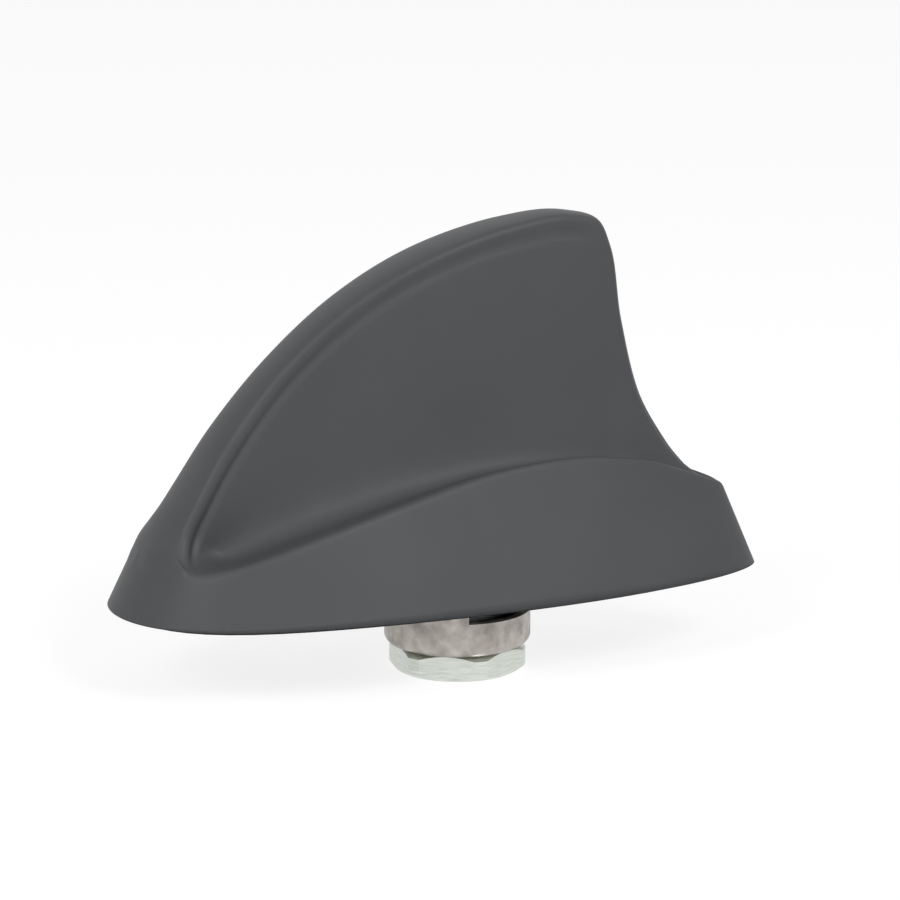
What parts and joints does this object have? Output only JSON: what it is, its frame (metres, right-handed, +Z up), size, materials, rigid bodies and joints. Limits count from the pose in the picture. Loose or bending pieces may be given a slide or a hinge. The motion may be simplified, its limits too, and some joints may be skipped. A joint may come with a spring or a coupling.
{
  "type": "shark fin roof aerial",
  "caption": "Shark fin roof aerial: moulded fin cover with side pockets on a cast base, held through the roof by a cup collar and a nut on a hollow threaded stud.",
  "frame": {"origin": "on the axis of the threaded stud, in the plane of the roof skin's top (the underside of the gasket)", "axes": "+X along the fin towards its tail, so the low nose is at -X; +Y across, to the car's right with the nose forward; +Z up out of the roof"},
  "size_m": [0.1294, 0.051, 0.088],
  "materials": {
    "cover_plastic": "satin moulded finish, dark neutral grey",
    "seal_rubber": "matt black",
    "gasket_rubber": "matt black",
    "cast_zinc": "as cast, light grey",
    "collar_steel": "dull plated, satin",
    "nut_steel": "bright zinc plated, turned faces",
    "screw_steel": "zinc plated",
    "circuit_board": "green solder resist over glass fibre",
    "pad_foam": "matt adhesive pad",
    "patch_ceramic": "pale ceramic",
    "silver_film": "fired silver film",
    "gold_contact": "gold plated",
    "tin_plate": "tin plated sheet",
    "chip_epoxy": "matt black epoxy",
    "ferrite": "matt dark ferrite",
    "brass_strip": "stamped strip",
    "holder_nylon": "natural nylon",
    "enamelled_copper": "varnished copper winding"
  },
  "bodies": {
    "root": {"cover": "cover_plastic", "cover_seal": "seal_rubber", "roof_gasket": "gasket_rubber", "base_plate": "cast_zinc", "clamp_collar": "collar_steel", "nut": "nut_steel", "cover_screws": "screw_steel", "main_board": "circuit_board", "board_screws": "screw_steel", "gnss_pad": "pad_foam", "gnss_patch": "patch_ceramic", "gnss_electrode": "silver_film", "gnss_pin": "gold_contact", "shield_can": "tin_plate", "amplifier_chip": "chip_epoxy", "board_inductors": "ferrite", "phone_radiator": "brass_strip", "fin_board": "circuit_board", "fin_holders": "holder_nylon", "fin_contact": "gold_contact", "top_plate": "tin_plate", "loading_coil": "enamelled_copper"}
  },
  "joints": []
}
